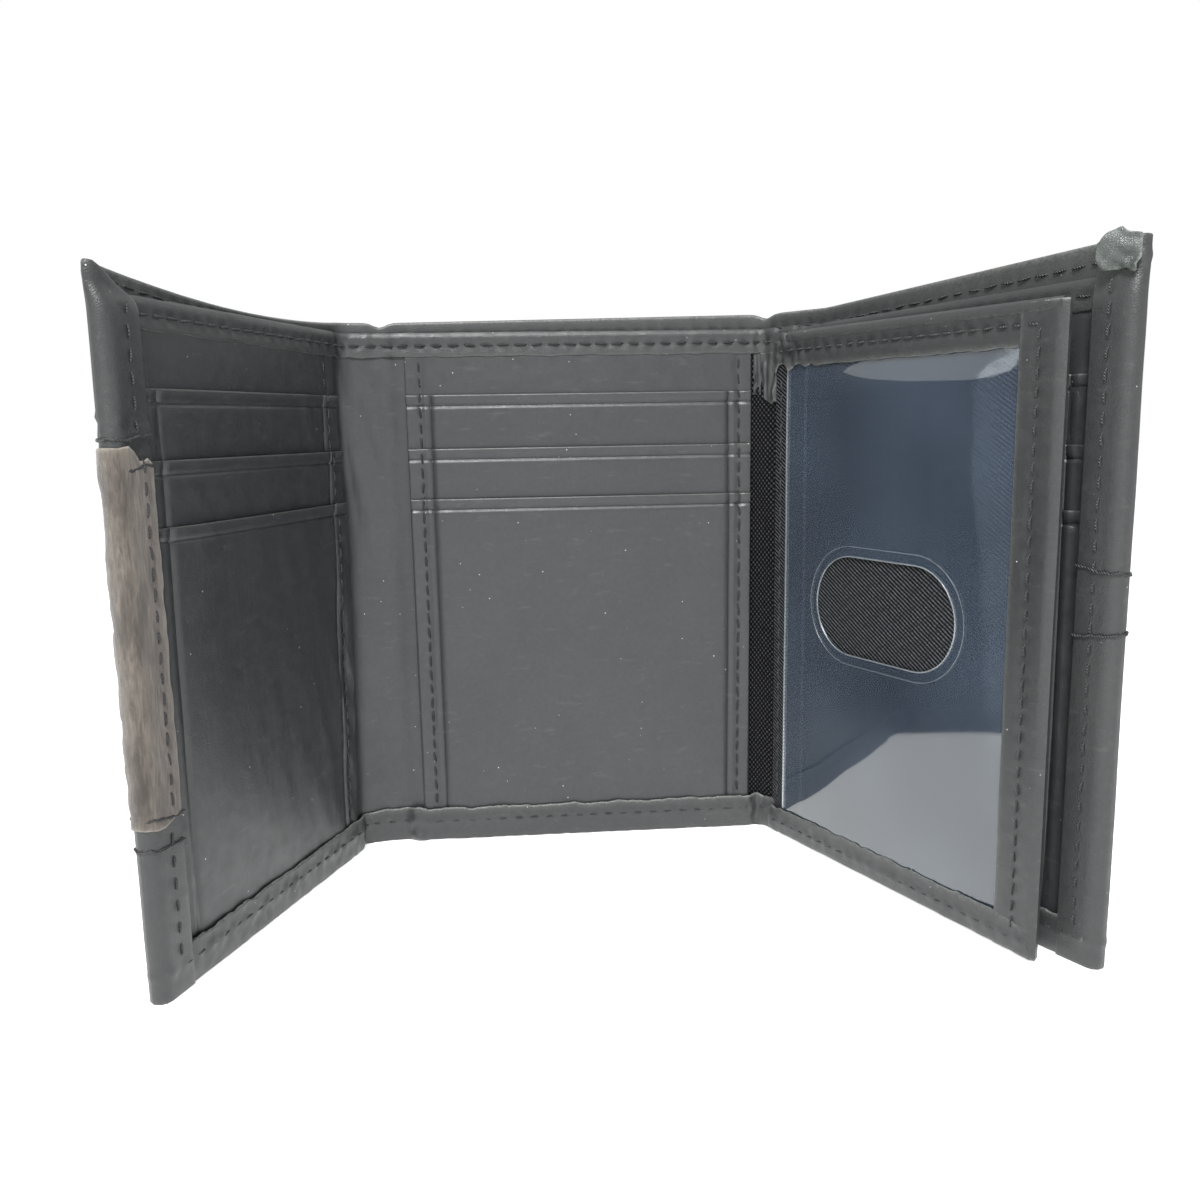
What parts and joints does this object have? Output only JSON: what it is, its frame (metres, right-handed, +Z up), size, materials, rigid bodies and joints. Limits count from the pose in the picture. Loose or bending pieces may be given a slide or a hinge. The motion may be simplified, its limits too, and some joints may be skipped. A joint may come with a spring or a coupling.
{
  "type": "trifold wallet",
  "caption": "Folding leather wallet with a centre panel and two wings on hinged spines, stepped card slots, a bill compartment and a swinging ID window flap.",
  "frame": {"origin": "middle of the base of the box around the half-open standing wallet", "axes": "+Z up along the folds, +Y out of the centre panel's back, +X towards the wing that carries the ID flap"},
  "size_m": [0.1518, 0.071, 0.111],
  "materials": {
    "outer_leather": "dark grey-black pebbled leather, satin",
    "inner_leather": "thin dark grey leather, satin",
    "lining_fabric": "smooth dark lining fabric",
    "black_nylon": "plain woven black nylon",
    "twill_fabric": "navy black twill weave",
    "brown_suede": "napped grey-brown suede",
    "clear_film": "clear soft vinyl film",
    "black_thread": "black sewing thread"
  },
  "bodies": {
    "centre_panel": {"centre_outer_cover": "outer_leather", "centre_cover_top_hem": "outer_leather", "centre_lining": "lining_fabric", "centre_divider": "inner_leather", "centre_top_binding": "inner_leather", "centre_card_strip_upper": "inner_leather", "centre_card_strip_lower": "inner_leather", "centre_front_pocket": "inner_leather", "centre_bottom_hem": "outer_leather", "centre_top_thread": "black_thread", "centre_hem_thread": "black_thread", "centre_left_thread": "black_thread", "centre_right_thread": "black_thread"},
    "left_spine": {"left_spine_outer_cover": "outer_leather", "left_spine_cover_top_hem": "outer_leather", "left_spine_lining": "lining_fabric", "left_spine_inner_wall": "inner_leather", "left_spine_top_binding": "inner_leather", "left_spine_bottom_hem": "outer_leather"},
    "left_wing": {"left_wing_outer_cover": "outer_leather", "left_wing_cover_top_hem": "outer_leather", "left_wing_lining": "lining_fabric", "left_wing_divider": "inner_leather", "left_wing_top_binding": "inner_leather", "left_wing_card_strip_upper": "inner_leather", "left_wing_card_strip_lower": "inner_leather", "left_wing_front_pocket": "inner_leather", "left_wing_bottom_hem": "outer_leather", "left_wing_side_hem": "outer_leather", "left_wing_side_thread_upper": "black_thread", "left_wing_side_thread_lower": "black_thread", "left_wing_bank_thread": "black_thread", "left_wing_suede_band": "brown_suede"},
    "right_spine": {"right_spine_outer_cover": "outer_leather", "right_spine_cover_top_hem": "outer_leather", "right_spine_lining": "lining_fabric", "right_spine_nylon_wall": "black_nylon", "right_spine_leather_facing": "inner_leather", "right_spine_top_binding": "inner_leather", "flap_root_strip": "inner_leather", "right_spine_bottom_hem": "outer_leather"},
    "right_wing": {"right_wing_outer_cover": "outer_leather", "right_wing_cover_top_hem": "outer_leather", "right_wing_lining": "lining_fabric", "right_wing_divider": "inner_leather", "right_wing_top_binding": "inner_leather", "right_wing_card_strip_upper": "inner_leather", "right_wing_card_strip_lower": "inner_leather", "right_wing_front_pocket": "inner_leather", "right_wing_bottom_hem": "outer_leather", "right_wing_side_hem": "outer_leather", "right_wing_side_thread": "black_thread"},
    "id_flap": {"flap_back_panel": "inner_leather", "flap_twill_lining": "twill_fabric", "flap_window_film": "clear_film", "flap_top_border": "outer_leather", "flap_side_border": "outer_leather", "flap_bottom_hem": "outer_leather", "flap_top_thread": "black_thread", "flap_side_thread": "black_thread"}
  },
  "joints": [
    {"name": "left_spine_fold", "type": "hinge", "parent": "centre_panel", "child": "left_spine", "pos_m": [-0.04084, 0.03471, 0.0535], "axis": [0, 0, 1], "range_deg": [-8, 47]},
    {"name": "left_wing_fold", "type": "hinge", "parent": "left_spine", "child": "left_wing", "pos_m": [-0.05074, 0.03332, 0.0535], "axis": [0, 0, 1], "range_deg": [-61.2, 63.8]},
    {"name": "right_spine_fold", "type": "hinge", "parent": "centre_panel", "child": "right_spine", "pos_m": [0.03456, 0.03471, 0.0535], "axis": [0, 0, -1], "range_deg": [-50, 35]},
    {"name": "right_wing_fold", "type": "hinge", "parent": "right_spine", "child": "right_wing", "pos_m": [0.04446, 0.02292, 0.0535], "axis": [0, 0, -1], "range_deg": [-11.7, 83.3]},
    {"name": "id_flap_flip", "type": "hinge", "parent": "right_wing", "child": "id_flap", "pos_m": [0.04185, 0.0189, 0.0535], "axis": [0, 0, 1], "range_deg": [-114.5, 3.8]}
  ]
}
